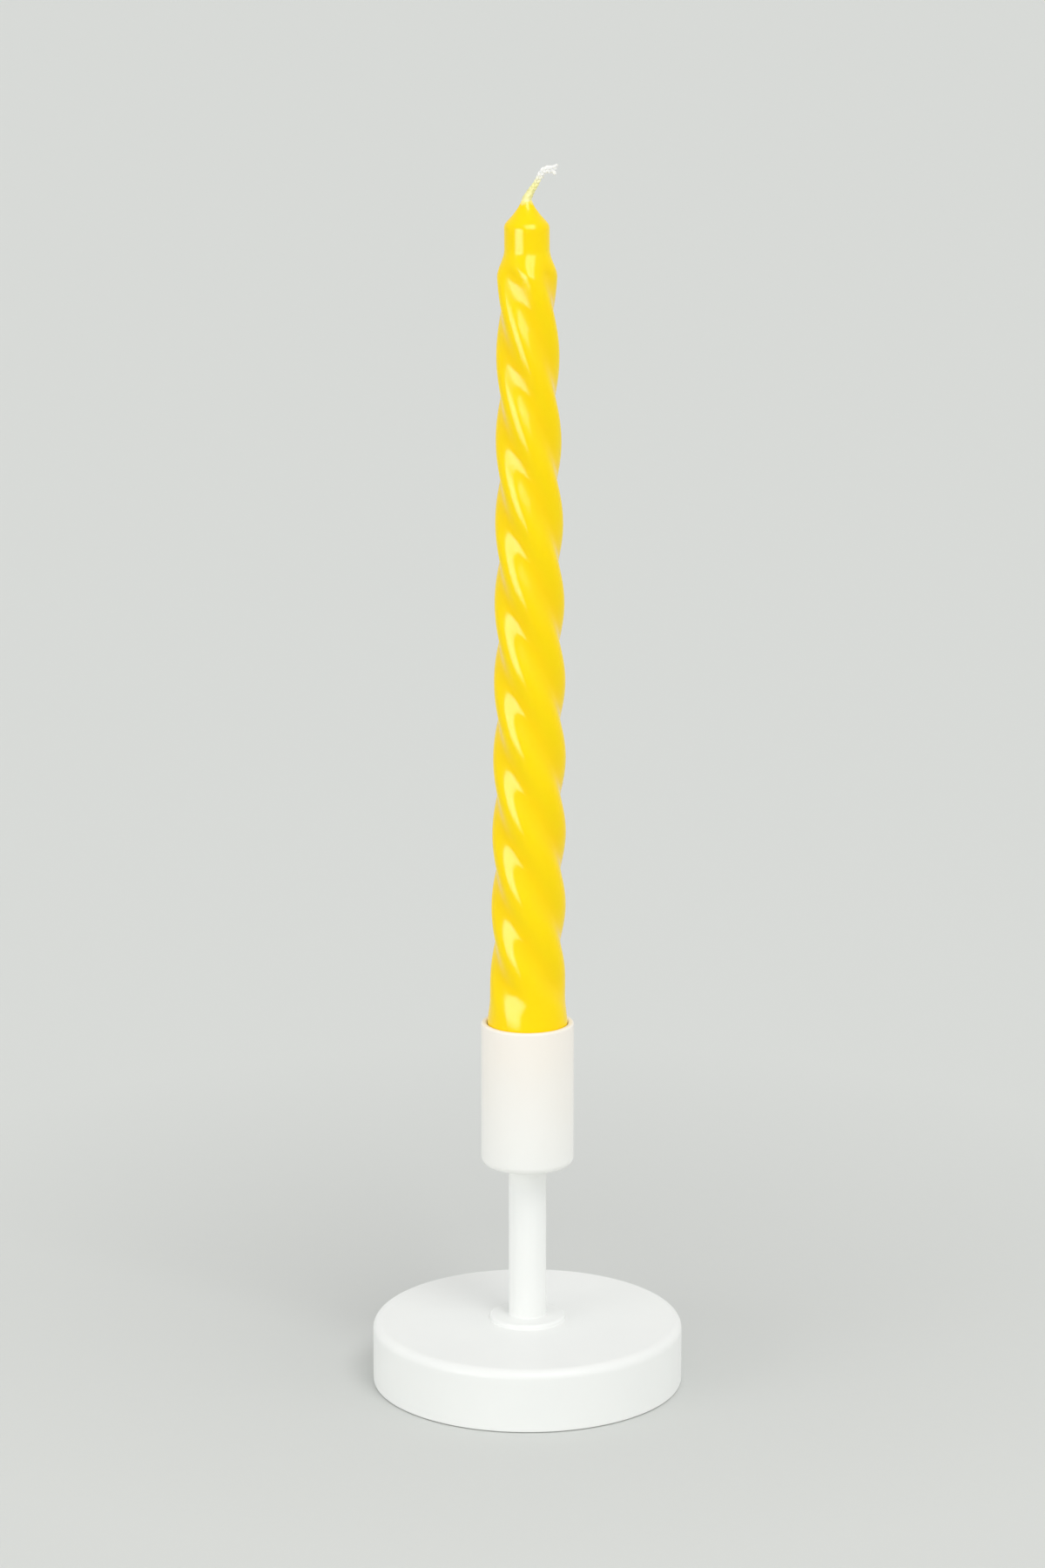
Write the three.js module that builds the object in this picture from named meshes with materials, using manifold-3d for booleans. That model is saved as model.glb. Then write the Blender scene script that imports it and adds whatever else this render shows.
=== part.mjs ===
// A twisted taper candle standing in a white metal holder.
//
// The holder is a heavy round base, a slim stem and a turned cup. Two screws pull them together:
// one comes up through the base into the stem, the other goes down through the floor of the cup
// into the stem. A felt pad under the base hides the lower screw.
// The candle is a core of pale wax on a cotton wick, dipped in a coloured coat. Four strands are
// twisted to the left between a plain round butt and a plain round top. It stands loose in the
// cup and lifts straight out.
//
// Millimetres, +Z up. The origin is on the table, at the centre of the pad's underside.

import * as THREE from "three";
import { mergeVertices } from "three/addons/utils/BufferGeometryUtils.js";
import Module from "manifold-3d";

const wasm = await Module();
wasm.setup();

// Holder
const BASE_DIAMETER = 86;
const BASE_THICKNESS = 17.3;
const BASE_TOP_ROUND = 2.5;
const BASE_BOTTOM_ROUND = 0.3;
const PAD_DIAMETER = 77;
const PAD_THICKNESS = 1.5;
const PAD_PROUD = 0.2; // how far the pad stands out below the base
const FLANGE_DIAMETER = 21;
const FLANGE_THICKNESS = 1.4;
const FLANGE_ROUND = 0.6;
const STEM_DIAMETER = 10.4;
const STEM_LENGTH = 42.95;
const COLLAR_DIAMETER = 11.4;
const COLLAR_THICKNESS = 1;
const CUP_WALL = 1.45;
const CUP_HEIGHT = 40.45;
const CUP_ROUND = 2; // round of the cup's lower edge
const LIP_ROUND = 0.6;
const SOCKET_DEPTH = 25.55;

// Screws and washers
const SCREW_DIAMETER = 5;
const SCREW_BITE = 12; // length of thread in the stem
const BASE_SCREW_HEAD_DIAMETER = 8.5;
const BASE_SCREW_HEAD_HEIGHT = 5;
const CUP_SCREW_HEAD_DIAMETER = 9;
const CUP_SCREW_HEAD_HEIGHT = 2.75;
const HEX_ACROSS_CORNERS = 4.6;
const HEX_DEPTH = 1.75;
const WASHER_DIAMETER = 10;
const WASHER_THICKNESS = 1;
const SPRING_WASHER_THICKNESS = 1.25;
const SPRING_WASHER_SPLIT = 0.8;
const BASE_WEB = 8; // base metal between the washer and the flange

// Candle
const WAX_LENGTH = 250;
const BUTT_DIAMETER = 22;
const BUTT_LENGTH = 24.5;
const STRANDS = 4;
const FOOT_DIAMETER = 20.7; // across the strands at the foot of the twist
const HEAD_DIAMETER = 15.9; // across the strands at the head of the twist
const SWELL = 0.41; // how far the taper bows out half way up
const FOOT_LEAD = 79.3; // height of one turn at the foot of the twist
const HEAD_LEAD = 93.1; // height of one turn at its head
const TWIST_START = 62; // degrees from +X to a strand's crown at the foot of the twist
const FOOT_OFFSET = 0.462; // a strand's centre, as a share of the radius over the strands
const HEAD_OFFSET = 0.562; // and at the head, as a share of the radius there
const FOOT_FILL = 33; // degrees from a groove over which wax has filled it
const HEAD_FILL = 35; // and at the head, in degrees
const RUN_IN = 15.3; // height over which the strands grow out of the butt
const GROOVE_RUN_IN = 14; // height over which their grooves reach full depth
const RUN_OUT = 7.6; // height over which they die into the plain top
const TOP_DIAMETER = 12.1;
const TOP_LENGTH = 5.6;
const SHOULDER_HEIGHT = 1.4;
const CONE_HEIGHT = 5.8;
const CONE_HOLLOW = 1.4; // 1 is a straight cone, more is a hollow one
const TIP_DIAMETER = 2.8;
const COAT_WALL = 1.1;
const WICK_DIAMETER = 1.6;

// Clearances
const PAD_GAP = 0.3;
const SCREW_GAP = 0.3;
const SOCKET_GAP = 0.3;
const HEAD_GAP = 0.5;
const BOND_GAP = 0.3; // between core and coat, and round the wick

// Mesh fineness
const BASE_STEPS = 64;
const CUP_STEPS = 48;
const STEM_STEPS = 32;
const WASHER_STEPS = 24;
const SCREW_STEPS = 16;
const FILLET_STEPS = 3;
const COAT_STEPS = 32; // points round the coat, a whole number for each strand
const CORE_STEPS = 24;
const COAT_ROW = 4.6; // height of one row of faces on the twist
const CORE_ROW = 7;
const WICK_STEPS = 8;

// Heights of the holder, from the table up
const BASE_BOTTOM = PAD_PROUD;
const BASE_TOP = BASE_BOTTOM + BASE_THICKNESS;
const STEM_BOTTOM = BASE_TOP + FLANGE_THICKNESS;
const STEM_TOP = STEM_BOTTOM + STEM_LENGTH;
const CUP_BOTTOM = STEM_TOP + COLLAR_THICKNESS;
const RIM = CUP_BOTTOM + CUP_HEIGHT;
const SOCKET_FLOOR = RIM - SOCKET_DEPTH;

// What fits round the screws
const SCREW_HOLE = SCREW_DIAMETER / 2 + SCREW_GAP;
const BASE_HEAD_HOLE = Math.max(BASE_SCREW_HEAD_DIAMETER, WASHER_DIAMETER) / 2 + HEAD_GAP;
const CUP_HEAD_HOLE = Math.max(CUP_SCREW_HEAD_DIAMETER, WASHER_DIAMETER) / 2 + HEAD_GAP;
const BASE_WASHER_SEAT = BASE_TOP - BASE_WEB;
const SPRING_SEAT = BASE_WASHER_SEAT - WASHER_THICKNESS - SPRING_WASHER_THICKNESS;
const CUP_SCREW_SEAT = SOCKET_FLOOR - HEAD_GAP - CUP_SCREW_HEAD_HEIGHT;
const CUP_WASHER_SEAT = CUP_SCREW_SEAT - WASHER_THICKNESS;
const TAPPED_DEPTH = SCREW_BITE + 2 * HEAD_GAP;
const SOCKET_RADIUS = BUTT_DIAMETER / 2 + SOCKET_GAP;
const CUP_RADIUS = SOCKET_RADIUS + CUP_WALL;

// Heights of the candle, from its butt up
const SHOULDER_TOP = WAX_LENGTH - CONE_HEIGHT;
const TOP_END = SHOULDER_TOP - SHOULDER_HEIGHT;
const TWIST_END = TOP_END - TOP_LENGTH;
const TWIST_LENGTH = TWIST_END - BUTT_LENGTH;
const CONE_FOOT = TOP_DIAMETER / 2 - SHOULDER_HEIGHT / 2; // radius at the foot of the cone
const WICK_BORE = WICK_DIAMETER / 2 + BOND_GAP;

// The wick, as [x, y, height over the wax, thickness as a share of WICK_DIAMETER]. It runs up
// through the wax, leans out to the side with wax soaked into its foot, and curls over.
const WICK_ROUTE = [
  [0, 0, -WAX_LENGTH, 1],
  [0, 0, -6, 1],
  [0, 0, -1.5, 1],
  [0.1, 0, 0.3, 1],
  [0.45, 0, 1.1, 1.4],
  [1.1, -0.1, 2.5, 1.3],
  [1.95, -0.2, 4, 1],
  [2.85, -0.35, 5.6, 0.85],
  [3.6, -0.45, 6.9, 0.85],
  [4.5, -0.55, 7.9, 1],
  [5.5, -0.6, 8.05, 1.1],
  [6.4, -0.65, 8, 1],
];

// Where its end is frayed: two tufts that fork, and one loose thread on the way.
const FRAYS = [
  [
    [5.8, -0.6, 8.1, 0.7],
    [7, -0.8, 8.6, 0.65],
    [8, -0.95, 9.5, 0.25],
  ],
  [
    [5.8, -0.65, 8, 0.7],
    [6.9, -0.5, 7.7, 0.6],
    [7.4, -0.35, 6.9, 0.2],
  ],
  [
    [3.4, -0.4, 6.9, 0.4],
    [4.1, -0.15, 6.4, 0.35],
    [4.4, 0.05, 5.7, 0.2],
  ],
];

// Materials

const paint = new THREE.MeshStandardMaterial({ color: 0xf2f3f0, roughness: 0.35, metalness: 0 });
const felt = new THREE.MeshStandardMaterial({ color: 0x8a8b88, roughness: 1, metalness: 0 });
const steel = new THREE.MeshStandardMaterial({ color: 0xb9bcc0, roughness: 0.35, metalness: 1 });
const coatWax = new THREE.MeshStandardMaterial({ color: 0xffd800, roughness: 0.18, metalness: 0 });
const coreWax = new THREE.MeshStandardMaterial({ color: 0xf6f0dc, roughness: 0.6, metalness: 0 });
const cotton = new THREE.MeshStandardMaterial({ color: 0xf4f0dc, roughness: 0.95, metalness: 0 });

// Shapes

// Points of an arc in a profile, from one angle to another in quarter turns.
function arc(centreRadius, centreHeight, radius, from, to) {
  return Array.from({ length: FILLET_STEPS + 1 }, (_, i) => {
    const angle = (from + ((to - from) * i) / FILLET_STEPS) * (Math.PI / 2);
    return [centreRadius + radius * Math.cos(angle), centreHeight + radius * Math.sin(angle)];
  });
}

// A profile of [radius, height] points, turned round the Z axis. It runs anticlockwise.
function revolve(profile, steps) {
  const points = [...profile, profile[0]].map(([radius, height]) => new THREE.Vector2(radius, height));
  return new THREE.LatheGeometry(points, steps).rotateX(Math.PI / 2);
}

// A flat ring with sharp edges.
function ring(innerRadius, outerRadius, thickness, steps) {
  const profile = [
    [innerRadius, 0],
    [outerRadius, 0],
    [outerRadius, thickness],
    [innerRadius, thickness],
  ];
  return revolve(profile, steps);
}

// An upright cylinder or prism on the Z axis, between two heights.
function post(radius, bottom, top, steps) {
  const geometry = new THREE.CylinderGeometry(radius, radius, top - bottom, steps);
  return geometry.rotateX(Math.PI / 2).translate(0, 0, (bottom + top) / 2);
}

// A closed skin over loops of points, all with the same number of points. Each loop runs
// anticlockwise when it is seen from the next one.
function loft(loops) {
  const count = loops[0].length;
  const index = [];
  for (let row = 0; row + 1 < loops.length; row++) {
    for (let i = 0; i < count; i++) {
      const [a, b] = [row * count + i, row * count + ((i + 1) % count)];
      const [c, d] = [a + count, b + count];
      index.push(a, b, d, a, d, c);
    }
  }
  const last = (loops.length - 1) * count;
  for (let i = 1; i + 1 < count; i++) {
    index.push(0, i + 1, i);
    index.push(last, last + i, last + i + 1);
  }
  const geometry = new THREE.BufferGeometry();
  geometry.setAttribute("position", new THREE.Float32BufferAttribute(loops.flat(2), 3));
  geometry.setIndex(index);
  return geometry;
}

// A geometry as a solid that can be joined and cut.
function solidOf(geometry) {
  const bare = new THREE.BufferGeometry();
  bare.setAttribute("position", geometry.getAttribute("position"));
  bare.setIndex(geometry.index);
  const merged = mergeVertices(bare, 1e-4);
  const vertProperties = new Float32Array(merged.getAttribute("position").array);
  const triVerts = new Uint32Array(merged.index.array);
  return new wasm.Manifold(new wasm.Mesh({ numProp: 3, vertProperties, triVerts }));
}

// A solid back as a geometry that can be drawn.
function geometryOf(solid) {
  const mesh = solid.getMesh();
  const geometry = new THREE.BufferGeometry();
  geometry.setAttribute("position", new THREE.BufferAttribute(mesh.vertProperties, 3));
  geometry.setIndex(new THREE.BufferAttribute(mesh.triVerts, 1));
  geometry.computeVertexNormals();
  return geometry;
}

function cut(geometry, ...cutters) {
  return geometryOf(cutters.reduce((solid, cutter) => solid.subtract(solidOf(cutter)), solidOf(geometry)));
}

function join(...geometries) {
  return geometryOf(geometries.map(solidOf).reduce((whole, solid) => whole.add(solid)));
}

// The holder

// The base: a thick disc with a rounded upper edge, a shallow recess for the pad below it, and
// a counterbored hole for the screw.
function baseDisc() {
  const radius = BASE_DIAMETER / 2;
  const recessRadius = PAD_DIAMETER / 2 + PAD_GAP;
  const recessTop = PAD_THICKNESS - PAD_PROUD;
  const profile = [
    [SCREW_HOLE, BASE_WASHER_SEAT - BASE_BOTTOM],
    [BASE_HEAD_HOLE, BASE_WASHER_SEAT - BASE_BOTTOM],
    [BASE_HEAD_HOLE, recessTop],
    [recessRadius, recessTop],
    [recessRadius, 0],
    ...arc(radius - BASE_BOTTOM_ROUND, BASE_BOTTOM_ROUND, BASE_BOTTOM_ROUND, -1, 0),
    ...arc(radius - BASE_TOP_ROUND, BASE_THICKNESS - BASE_TOP_ROUND, BASE_TOP_ROUND, 0, 1),
    [SCREW_HOLE, BASE_THICKNESS],
  ];
  return revolve(profile, BASE_STEPS);
}

// The low flange that the stem stands on, with its upper edge rounded.
function footFlange() {
  const radius = FLANGE_DIAMETER / 2;
  const profile = [
    [SCREW_HOLE, 0],
    [radius, 0],
    ...arc(radius - FLANGE_ROUND, FLANGE_THICKNESS - FLANGE_ROUND, FLANGE_ROUND, 0, 1),
    [SCREW_HOLE, FLANGE_THICKNESS],
  ];
  return revolve(profile, STEM_STEPS);
}

// The stem: a plain rod, bored at both ends for the screws' threads.
function stem() {
  const rod = post(STEM_DIAMETER / 2, 0, STEM_LENGTH, STEM_STEPS);
  const lowerHole = post(SCREW_HOLE, -1, TAPPED_DEPTH, SCREW_STEPS);
  const upperHole = post(SCREW_HOLE, STEM_LENGTH - TAPPED_DEPTH, STEM_LENGTH + 1, SCREW_STEPS);
  return cut(rod, lowerHole, upperHole);
}

// The collar under the cup, which spreads from the stem in a small hollow flare.
function neckCollar() {
  const radius = COLLAR_DIAMETER / 2;
  const flare = radius - STEM_DIAMETER / 2;
  const profile = [
    [SCREW_HOLE, 0],
    ...arc(radius, 0, flare, 2, 1),
    [radius, COLLAR_THICKNESS],
    [SCREW_HOLE, COLLAR_THICKNESS],
  ];
  return revolve(profile, STEM_STEPS);
}

// The cup: a turned sleeve with a thick floor, a rounded lower edge and a rounded lip. The floor
// is counterbored for the screw, so that the candle stands flat on it.
function cup() {
  const floor = SOCKET_FLOOR - CUP_BOTTOM;
  const seat = CUP_WASHER_SEAT - CUP_BOTTOM;
  const lipHeight = CUP_HEIGHT - LIP_ROUND;
  const profile = [
    [SCREW_HOLE, 0],
    ...arc(CUP_RADIUS - CUP_ROUND, CUP_ROUND, CUP_ROUND, -1, 0),
    ...arc(CUP_RADIUS - LIP_ROUND, lipHeight, LIP_ROUND, 0, 1),
    ...arc(SOCKET_RADIUS + LIP_ROUND, lipHeight, LIP_ROUND, 1, 2),
    [SOCKET_RADIUS, floor],
    [CUP_HEAD_HOLE, floor],
    [CUP_HEAD_HOLE, seat],
    [SCREW_HOLE, seat],
  ];
  return revolve(profile, CUP_STEPS);
}

// A socket-head screw: its head is below zero, and its shank runs up from zero.
function screw(headDiameter, headHeight, shankLength) {
  const profile = [
    [0, -headHeight],
    [headDiameter / 2, -headHeight],
    [headDiameter / 2, 0],
    [SCREW_DIAMETER / 2, 0],
    [SCREW_DIAMETER / 2, shankLength],
    [0, shankLength],
  ];
  const hexHole = post(HEX_ACROSS_CORNERS / 2, -headHeight - 1, -headHeight + HEX_DEPTH, 6);
  return cut(revolve(profile, SCREW_STEPS), hexHole);
}

function flatWasher() {
  return ring(SCREW_HOLE, WASHER_DIAMETER / 2, WASHER_THICKNESS, WASHER_STEPS);
}

// A spring washer: a ring with one slanting split.
function springWasher() {
  const radius = BASE_SCREW_HEAD_DIAMETER / 2;
  const split = new THREE.BoxGeometry(radius * 2, SPRING_WASHER_SPLIT, SPRING_WASHER_THICKNESS * 4);
  split.rotateX(Math.PI / 6).translate(radius, 0, SPRING_WASHER_THICKNESS / 2);
  return cut(ring(SCREW_HOLE, radius, SPRING_WASHER_THICKNESS, WASHER_STEPS), split);
}

// The candle

const { lerp, clamp, smoothstep } = THREE.MathUtils;

// Share of the way up the twist, from 0 at its foot to 1 at its head.
function climb(height) {
  return clamp((height - BUTT_LENGTH) / TWIST_LENGTH, 0, 1);
}

// How far the strands have grown out of the butt, from 0 to 1.
function grown(height) {
  return smoothstep(height, BUTT_LENGTH, BUTT_LENGTH + RUN_IN);
}

// Depth of the grooves between them, as a share of full depth.
function relief(height) {
  return smoothstep(height, BUTT_LENGTH, BUTT_LENGTH + GROOVE_RUN_IN) * (1 - faded(height));
}

// How far they have died into the plain top, from 0 to 1.
function faded(height) {
  return smoothstep(height, TWIST_END - RUN_OUT, TWIST_END);
}

// Radius of the wax over the crowns of the strands.
function crownRadius(height) {
  if (height > SHOULDER_TOP) {
    const left = (WAX_LENGTH - height) / CONE_HEIGHT;
    return lerp(TIP_DIAMETER / 2, CONE_FOOT, Math.pow(left, CONE_HOLLOW));
  }
  if (height > TOP_END) {
    // The shoulder is a quarter of an ellipse.
    const rise = clamp((height - TOP_END) / SHOULDER_HEIGHT, 0, 1);
    return lerp(CONE_FOOT, TOP_DIAMETER / 2, Math.sqrt(1 - rise * rise));
  }
  const taper = lerp(FOOT_DIAMETER, HEAD_DIAMETER, climb(height)) / 2;
  const strands = taper + SWELL * Math.sin(Math.PI * climb(height));
  return lerp(lerp(BUTT_DIAMETER / 2, strands, grown(height)), TOP_DIAMETER / 2, faded(height));
}

// Turn of the section, in radians. The twist is left-handed, and the height of one turn grows
// evenly from FOOT_LEAD to HEAD_LEAD, so the turn is the logarithm of the lead.
function twist(height) {
  const growth = (HEAD_LEAD - FOOT_LEAD) / TWIST_LENGTH;
  const turns = Math.log(1 + (growth * climb(height) * TWIST_LENGTH) / FOOT_LEAD) / growth;
  return THREE.MathUtils.degToRad(TWIST_START) - 2 * Math.PI * turns;
}

// Radius of the section at an angle from a crown. Each strand is a circle set off from the axis.
// Two bare strands would meet in a sharp groove, but the wax of the coat has filled it, to a
// depth that leaves the section level there.
function sectionRadius(height, angle) {
  const spacing = (2 * Math.PI) / STRANDS;
  const fromCrown = Math.abs(angle - spacing * Math.round(angle / spacing));
  const crown = crownRadius(height);
  const offset = crown * relief(height) * lerp(FOOT_OFFSET, HEAD_OFFSET, climb(height));
  const strand = crown - offset;
  const halfChord = (at) => Math.sqrt(strand ** 2 - (offset * Math.sin(at)) ** 2);
  const groove = spacing / 2;
  const slope = offset * Math.sin(groove) * (1 + (offset * Math.cos(groove)) / halfChord(groove));
  const reach = THREE.MathUtils.degToRad(lerp(FOOT_FILL, HEAD_FILL, climb(height)));
  const nearness = Math.max(0, 1 - (groove - fromCrown) / reach);
  return offset * Math.cos(fromCrown) + halfChord(fromCrown) + (slope * reach * nearness ** 3) / 3;
}

// Heights of the rows of points, closer together where the shape turns quickly.
function rowHeights(top, rowHeight) {
  const evenly = (from, to, count) => Array.from({ length: count }, (_, i) => from + ((to - from) * i) / count);
  const fadeStart = TWIST_END - RUN_OUT;
  const rows = [
    ...evenly(BUTT_LENGTH, fadeStart, Math.ceil((fadeStart - BUTT_LENGTH) / rowHeight)),
    ...evenly(fadeStart, TWIST_END, 4),
    TWIST_END,
    ...evenly(TOP_END, SHOULDER_TOP, 3),
    ...evenly(SHOULDER_TOP, WAX_LENGTH, 4),
  ];
  return [...rows.filter((height) => height < top - 0.2), top];
}

// A twisted solid that lies `inset` inside the outside of the candle, between two heights.
function twistedSolid(inset, bottom, top, steps, rowHeight) {
  const loops = [bottom, ...rowHeights(top, rowHeight)].map((height) =>
    Array.from({ length: steps }, (_, i) => {
      const angle = (2 * Math.PI * i) / steps;
      const radius = sectionRadius(height, angle) - inset;
      const direction = angle + twist(height);
      return [radius * Math.cos(direction), radius * Math.sin(direction), height];
    }),
  );
  return loft(loops);
}

// Height on the cone at which the wax, `inset` in from the outside, has a given radius.
function coneHeight(radius, inset) {
  const share = (radius + inset - TIP_DIAMETER / 2) / (CONE_FOOT - TIP_DIAMETER / 2);
  return WAX_LENGTH - CONE_HEIGHT * Math.pow(clamp(share, 0, 1), 1 / CONE_HOLLOW);
}

// The coloured coat: a twisted shell, open at the butt and pierced for the wick at the tip.
function candleCoat() {
  const outside = twistedSolid(0, 0, WAX_LENGTH, COAT_STEPS, COAT_ROW);
  const cavityTop = coneHeight(WICK_BORE, COAT_WALL);
  const cavity = twistedSolid(COAT_WALL, -1, cavityTop, CORE_STEPS, CORE_ROW);
  return cut(outside, cavity, post(WICK_BORE, cavityTop - 1, WAX_LENGTH + 1, WICK_STEPS));
}

// The core: the same twisted form inside the coat, bored for the wick.
function candleCore() {
  const inset = COAT_WALL + BOND_GAP;
  const top = coneHeight(2 * WICK_BORE, inset);
  return cut(twistedSolid(inset, 0, top, CORE_STEPS, CORE_ROW), post(WICK_BORE, -1, top + 1, WICK_STEPS));
}

// A length of cotton of changing thickness, along points listed as in WICK_ROUTE.
function thread(points, rings) {
  const line = new THREE.CatmullRomCurve3(
    points.map(([x, y, height]) => new THREE.Vector3(x, y, WAX_LENGTH + height)),
  );
  const loops = Array.from({ length: rings + 1 }, (_, i) => {
    const place = (i / rings) * (points.length - 1);
    const before = Math.min(Math.floor(place), points.length - 2);
    const share = lerp(points[before][3], points[before + 1][3], place - before);
    const along = line.getTangent(i / rings);
    const side = new THREE.Vector3(0, 1, 0).cross(along).normalize();
    const across = along.clone().cross(side);
    return Array.from({ length: WICK_STEPS }, (_, k) => {
      const angle = (2 * Math.PI * k) / WICK_STEPS;
      const point = line.getPoint(i / rings);
      point.addScaledVector(side, (share * WICK_DIAMETER * Math.cos(angle)) / 2);
      point.addScaledVector(across, (share * WICK_DIAMETER * Math.sin(angle)) / 2);
      return point.toArray();
    });
  });
  return loft(loops);
}

// The wick: one cotton cord from the butt to above the tip, with its frayed end.
function wick() {
  return join(thread(WICK_ROUTE, 2 * (WICK_ROUTE.length - 1)), ...FRAYS.map((points) => thread(points, 4)));
}

// The assembly

function piece(name, geometry, material, height) {
  const mesh = new THREE.Mesh(geometry, material);
  mesh.name = name;
  mesh.position.z = height;
  return mesh;
}

function holder() {
  const pad = post(PAD_DIAMETER / 2, 0, PAD_THICKNESS, BASE_STEPS);
  const baseShank = STEM_BOTTOM + SCREW_BITE - SPRING_SEAT;
  const baseScrew = screw(BASE_SCREW_HEAD_DIAMETER, BASE_SCREW_HEAD_HEIGHT, baseShank);
  const cupShank = CUP_SCREW_SEAT - (STEM_TOP - SCREW_BITE);
  const cupScrew = screw(CUP_SCREW_HEAD_DIAMETER, CUP_SCREW_HEAD_HEIGHT, cupShank);
  const turnedScrew = piece("cup_screw", cupScrew, steel, CUP_SCREW_SEAT);
  turnedScrew.rotation.x = Math.PI;
  const group = new THREE.Group();
  group.add(
    piece("base_pad", pad, felt, 0),
    piece("base_disc", baseDisc(), paint, BASE_BOTTOM),
    piece("base_washer", flatWasher(), steel, BASE_WASHER_SEAT - WASHER_THICKNESS),
    piece("base_spring_washer", springWasher(), steel, SPRING_SEAT),
    piece("base_screw", baseScrew, steel, SPRING_SEAT),
    piece("foot_flange", footFlange(), paint, BASE_TOP),
    piece("stem", stem(), paint, STEM_BOTTOM),
    piece("neck_collar", neckCollar(), paint, STEM_TOP),
    piece("cup", cup(), paint, CUP_BOTTOM),
    piece("cup_washer", flatWasher(), steel, CUP_WASHER_SEAT),
    turnedScrew,
  );
  return group;
}

function candle() {
  const group = new THREE.Group();
  group.position.z = SOCKET_FLOOR;
  group.add(
    piece("candle_core", candleCore(), coreWax, 0),
    piece("candle_coat", candleCoat(), coatWax, 0),
    piece("wick", wick(), cotton, 0),
  );
  return group;
}

const assembly = new THREE.Group();
assembly.add(holder(), candle());

export default assembly;
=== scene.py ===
# %% [markdown]
# # A twisted taper candle in its holder
#
# The real object is a dinner candle 250 mm long, standing in a small white holder. The candle
# is a core of plain wax on a cotton wick, pressed as a bar with four lobes, twisted to the left
# while it is warm and dipped in glossy yellow wax. The holder is turned metal, painted white:
# a heavy round base, a slim stem and a cup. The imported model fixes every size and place, so
# this notebook only dresses it: each solid gets a finer surface and the finish of the real one.

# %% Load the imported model
import math

import bpy
import numpy as np
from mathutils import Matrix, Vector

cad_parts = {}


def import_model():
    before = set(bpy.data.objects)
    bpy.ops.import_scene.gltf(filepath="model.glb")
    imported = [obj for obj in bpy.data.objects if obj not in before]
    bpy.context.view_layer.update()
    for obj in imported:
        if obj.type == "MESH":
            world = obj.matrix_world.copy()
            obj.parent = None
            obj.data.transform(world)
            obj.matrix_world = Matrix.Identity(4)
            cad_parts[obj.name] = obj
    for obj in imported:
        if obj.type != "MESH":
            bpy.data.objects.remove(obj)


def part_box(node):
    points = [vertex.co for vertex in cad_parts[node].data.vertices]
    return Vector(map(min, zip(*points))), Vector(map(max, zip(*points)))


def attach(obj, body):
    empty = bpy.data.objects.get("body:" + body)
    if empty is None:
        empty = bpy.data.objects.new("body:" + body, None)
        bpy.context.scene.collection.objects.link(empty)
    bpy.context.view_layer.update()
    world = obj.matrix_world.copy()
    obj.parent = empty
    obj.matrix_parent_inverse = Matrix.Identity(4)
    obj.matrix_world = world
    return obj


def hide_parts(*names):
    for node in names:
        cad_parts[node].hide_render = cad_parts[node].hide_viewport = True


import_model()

MM = 0.001  # sizes below are in millimetres, and the scene is in metres
TURN = 2 * math.pi
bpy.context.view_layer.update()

# %% [markdown]
# ## Surfaces from rings of points
#
# Nearly every piece here is round, so it could be a primitive with modifiers. A table of rings
# does more: a turned profile, a twisted bar and a cotton yarn are all rings of points, and one
# function can skin them all. Working the points out as whole numpy arrays keeps it quick.

# %% Skin a table of rings
def put(name, data):
    """A new object in the scene, with its mesh, lamp or camera."""
    obj = bpy.data.objects.new(name, data)
    bpy.context.scene.collection.objects.link(obj)
    return obj


def round_axis(radii, angles, heights):
    """Points round the Z axis: a point at angle a is (r cos a, r sin a, z)."""
    return np.stack([radii * np.cos(angles), radii * np.sin(angles), heights], axis=-1)


def ring_faces(count, around, looped):
    """Corner numbers of the four-sided faces between rings, which look out of the surface."""
    rows = np.arange(count if looped else count - 1)[:, None]
    here = np.arange(around)[None, :]
    there = (here + 1) % around
    below = rows * around
    above = (rows + 1) % count * around
    return np.stack([below + here, below + there, above + there, above + here], axis=-1).reshape(-1, 4)


def end_faces(ring, pole, upward):
    """Corner numbers of the fan of triangles that closes a ring at its pole."""
    there = np.roll(ring, -1)
    corners = (ring, there) if upward else (there, ring)
    return np.stack([*corners, np.full(len(ring), pole)], axis=-1)


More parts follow.
